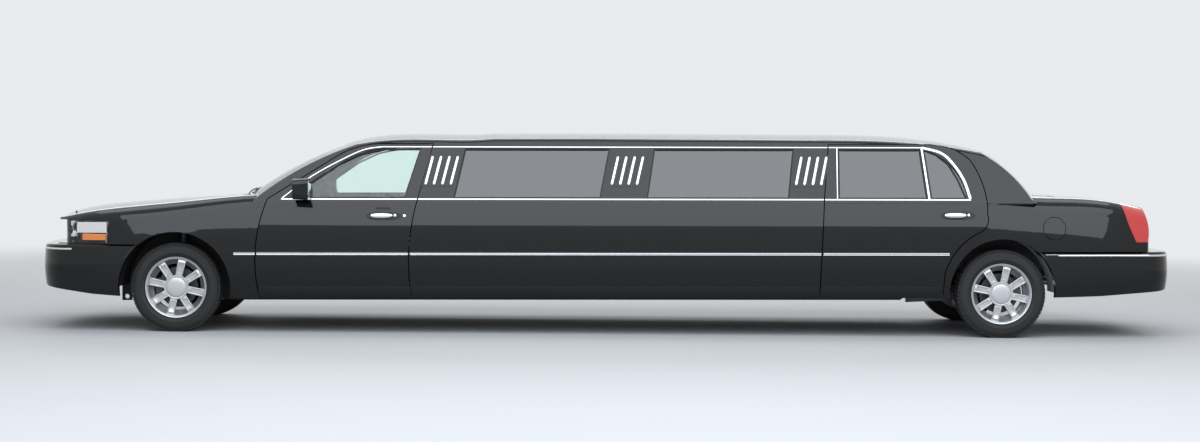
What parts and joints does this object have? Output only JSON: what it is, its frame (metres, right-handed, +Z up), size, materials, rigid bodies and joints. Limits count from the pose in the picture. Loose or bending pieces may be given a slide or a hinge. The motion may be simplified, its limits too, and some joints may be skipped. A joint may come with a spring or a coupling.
{
  "type": "stretch limousine",
  "caption": "Long black saloon with a stretched middle, dark side glass, bright pillar bars and spoked wheels; opening doors and lids, steering and rolling wheels.",
  "frame": {"origin": "on the ground, midway along the car and across it", "axes": "+X to the rear, +Y to the car's right, +Z up; the body is tipped 0.42 degrees nose down about the front axle"},
  "size_m": [8.7747, 2.275, 1.5505],
  "materials": {
    "paint": "deep gloss black",
    "chrome": "polished",
    "dark_glass": "limousine tint",
    "clear_glass": "slightly green",
    "lamp_clear": "clear lamp cover",
    "lamp_red": "red lamp cover",
    "tyre": "matt black",
    "alloy": "bright machined",
    "frame_steel": "satin black",
    "engine_iron": "dull",
    "exhaust_steel": "dull",
    "dark_plastic": "grained",
    "seat_leather": "soft"
  },
  "bodies": {
    "chassis": {"dashboard": "dark_plastic", "driveline": "frame_steel", "engine_bay": "frame_steel", "engine_block": "engine_iron", "exhaust": "exhaust_steel", "floor_pan": "frame_steel", "frame_front": "frame_steel", "frame_rear": "frame_steel", "frame_stretch": "frame_steel", "front_bumper": "paint", "front_seats": "seat_leather", "front_suspension": "frame_steel", "front_wings": "paint", "fuel_tank": "frame_steel", "grille": "chrome", "header_panel": "paint", "headlamps": "lamp_clear", "lounge_seats": "seat_leather", "partition": "dark_plastic", "pillar_louvres": "chrome", "rear_axle": "frame_steel", "rear_bumper": "paint", "rear_deck": "paint", "rear_quarters": "paint", "rear_window": "dark_glass", "roof_panel": "paint", "stretch_sides": "paint", "stretch_windows": "dark_glass", "tail_lamps": "lamp_red", "windscreen": "clear_glass", "windscreen_frame": "paint"},
    "hood": {"hood": "paint"},
    "boot_lid": {"boot_lid": "paint"},
    "fuel_flap": {"fuel_flap": "paint"},
    "front_door_left": {"front_door_left": "paint", "front_door_glass_left": "clear_glass", "mirror_left": "paint"},
    "front_door_right": {"front_door_right": "paint", "front_door_glass_right": "clear_glass", "mirror_right": "paint"},
    "rear_door_left": {"rear_door_left": "paint", "rear_door_glass_left": "dark_glass"},
    "rear_door_right": {"rear_door_right": "paint", "rear_door_glass_right": "dark_glass"},
    "knuckle_left": {"knuckle_left": "frame_steel"},
    "knuckle_right": {"knuckle_right": "frame_steel"},
    "wheel_front_left": {"wheel_front_left": "alloy", "tyre_front_left": "tyre"},
    "wheel_front_right": {"wheel_front_right": "alloy", "tyre_front_right": "tyre"},
    "wheel_rear_left": {"wheel_rear_left": "alloy", "tyre_rear_left": "tyre"},
    "wheel_rear_right": {"wheel_rear_right": "alloy", "tyre_rear_right": "tyre"},
    "steering_wheel": {"steering_wheel": "dark_plastic"}
  },
  "joints": [
    {"name": "front_door_left_hinge", "type": "hinge", "parent": "chassis", "child": "front_door_left", "pos_m": [-2.66617, -1, 0.7045], "axis": [0.0073, 0, -1], "range_deg": [0, 65]},
    {"name": "rear_door_left_hinge", "type": "hinge", "parent": "chassis", "child": "rear_door_left", "pos_m": [1.61471, -1, 0.73588], "axis": [0.0073, 0, -1], "range_deg": [0, 65]},
    {"name": "steer_left", "type": "hinge", "parent": "chassis", "child": "knuckle_left", "pos_m": [-3.2785, -0.735, 0.338], "axis": [0, 0, 1], "range_deg": [-36, 36]},
    {"name": "wheel_front_left_spin", "type": "hinge", "parent": "knuckle_left", "child": "wheel_front_left", "pos_m": [-3.2785, -0.805, 0.338], "axis": [0, 1, 0], "continuous": true},
    {"name": "wheel_rear_left_spin", "type": "hinge", "parent": "chassis", "child": "wheel_rear_left", "pos_m": [3.0135, -0.8295, 0.338], "axis": [0, 1, 0], "continuous": true},
    {"name": "front_door_right_hinge", "type": "hinge", "parent": "chassis", "child": "front_door_right", "pos_m": [-2.66617, 1, 0.7045], "axis": [-0.0073, 0, 1], "range_deg": [0, 65]},
    {"name": "rear_door_right_hinge", "type": "hinge", "parent": "chassis", "child": "rear_door_right", "pos_m": [1.61471, 1, 0.73588], "axis": [-0.0073, 0, 1], "range_deg": [0, 65]},
    {"name": "steer_right", "type": "hinge", "parent": "chassis", "child": "knuckle_right", "pos_m": [-3.2785, 0.735, 0.338], "axis": [0, 0, 1], "range_deg": [-36, 36]},
    {"name": "wheel_front_right_spin", "type": "hinge", "parent": "knuckle_right", "child": "wheel_front_right", "pos_m": [-3.2785, 0.805, 0.338], "axis": [0, 1, 0], "continuous": true},
    {"name": "wheel_rear_right_spin", "type": "hinge", "parent": "chassis", "child": "wheel_rear_right", "pos_m": [3.0135, 0.8295, 0.338], "axis": [0, 1, 0], "continuous": true},
    {"name": "hood_hinge", "type": "hinge", "parent": "chassis", "child": "hood", "pos_m": [-2.78353, 0, 1.02565], "axis": [0, 1, 0], "range_deg": [0, 60]},
    {"name": "boot_lid_hinge", "type": "hinge", "parent": "chassis", "child": "boot_lid", "pos_m": [3.55627, 0, 1.07612], "axis": [0, -1, 0], "range_deg": [0, 80]},
    {"name": "fuel_flap_hinge", "type": "hinge", "parent": "chassis", "child": "fuel_flap", "pos_m": [3.31598, -0.99, 0.84235], "axis": [0.0073, 0, -1], "range_deg": [0, 100]},
    {"name": "steering_wheel_turn", "type": "hinge", "parent": "chassis", "child": "steering_wheel", "pos_m": [-2.09305, -0.4, 0.96371], "axis": [0.9105, 0, 0.4134], "range_deg": [-570, 570]}
  ],
  "couplings": [
    {"joint": "steer_right", "follows": "steer_left", "ratio": 1},
    {"joint": "steering_wheel_turn", "follows": "steer_left", "ratio": 15.7}
  ]
}
